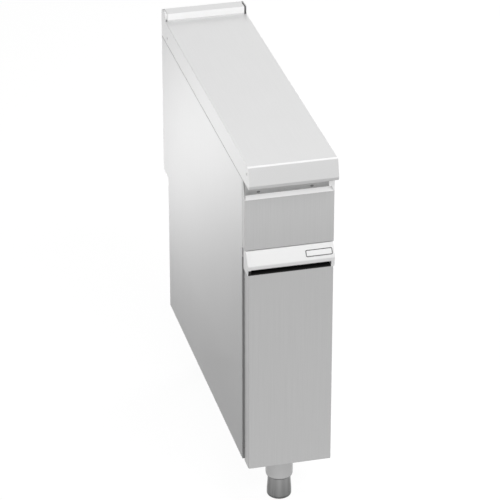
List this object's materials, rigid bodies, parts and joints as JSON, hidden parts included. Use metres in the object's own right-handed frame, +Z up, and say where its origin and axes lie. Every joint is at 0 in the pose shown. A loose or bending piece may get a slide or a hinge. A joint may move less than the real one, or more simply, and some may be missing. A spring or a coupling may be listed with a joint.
{
  "type": "neutral work module",
  "caption": "Narrow stainless work module for a modular cooking line, with a folded worktop, rear upstand, pull-out bottle rack and adjustable feet.",
  "frame": {"origin": "on the floor, under the centre of the module's footprint", "axes": "+X to the right seen from the front, +Y from the front to the rear, +Z up"},
  "size_m": [0.2, 0.85, 0.918],
  "materials": {
    "satin_steel": "satin",
    "inner_steel": "mill",
    "bright_steel": "fine satin",
    "runner_steel": "zinc plated",
    "fastener_steel": "plain",
    "foot_steel": "satin",
    "rack_steel": "satin",
    "black_plastic": "matt",
    "black_rubber": "matt",
    "grey_plastic": "matt"
  },
  "bodies": {
    "carcass": {"worktop": "satin_steel", "worktop_stiffener": "inner_steel", "upstand_end_caps": "satin_steel", "side_panel_left": "satin_steel", "side_panel_right": "satin_steel", "back_panel_upper": "inner_steel", "back_panel_lower": "inner_steel", "base_panel": "inner_steel", "front_top_rail": "inner_steel", "rear_top_rail": "inner_steel", "front_cross_rail": "inner_steel", "fascia_panel": "satin_steel", "fascia_screws": "fastener_steel", "back_panel_screws": "fastener_steel", "runner_bracket_left": "inner_steel", "runner_bracket_right": "inner_steel", "runner_outer_left": "runner_steel", "runner_outer_right": "runner_steel", "front_foot_plate": "satin_steel", "rear_foot_plate": "satin_steel", "front_foot_collar": "satin_steel", "rear_foot_collar": "satin_steel", "front_foot_spindle": "fastener_steel", "rear_foot_spindle": "fastener_steel", "foot_screws": "fastener_steel", "foot_nuts": "fastener_steel"},
    "pullout": {"pullout_front": "satin_steel", "pullout_liner": "inner_steel", "pullout_stiffener": "inner_steel", "handle": "bright_steel", "handle_end_cap_left": "bright_steel", "handle_end_cap_right": "bright_steel", "grip_liner": "black_plastic", "label_plate": "bright_steel", "closing_buffers": "black_rubber", "runner_inner_left": "runner_steel", "runner_inner_right": "runner_steel", "rack_rail_left": "rack_steel", "rack_rail_right": "rack_steel", "rack_upright_front_left": "rack_steel", "rack_upright_front_right": "rack_steel", "rack_upright_rear_left": "rack_steel", "rack_upright_rear_right": "rack_steel", "rack_tray_lower": "rack_steel", "rack_tray_middle": "rack_steel", "rack_tray_upper": "rack_steel", "rack_side_wires": "rack_steel", "rack_screws": "fastener_steel"},
    "left_runner_middle": {"runner_middle_left": "runner_steel"},
    "right_runner_middle": {"runner_middle_right": "runner_steel"},
    "front_foot": {"front_foot_sleeve": "foot_steel", "front_foot_pad": "grey_plastic"},
    "rear_foot": {"rear_foot_sleeve": "foot_steel", "rear_foot_pad": "grey_plastic"}
  },
  "joints": [
    {"name": "pullout_slide", "type": "slide", "parent": "carcass", "child": "pullout", "axis": [0, -1, 0], "range_m": [0, 0.6]},
    {"name": "left_runner_extend", "type": "slide", "parent": "carcass", "child": "left_runner_middle", "axis": [0, -1, 0], "range_m": [0, 0.3]},
    {"name": "right_runner_extend", "type": "slide", "parent": "carcass", "child": "right_runner_middle", "axis": [0, -1, 0], "range_m": [0, 0.3]},
    {"name": "front_foot_height", "type": "slide", "parent": "carcass", "child": "front_foot", "axis": [0, 0, -1], "range_m": [0, 0.03]},
    {"name": "rear_foot_height", "type": "slide", "parent": "carcass", "child": "rear_foot", "axis": [0, 0, -1], "range_m": [0, 0.03]}
  ],
  "couplings": [
    {"joint": "left_runner_extend", "follows": "pullout_slide", "ratio": 0.5},
    {"joint": "right_runner_extend", "follows": "pullout_slide", "ratio": 0.5}
  ]
}
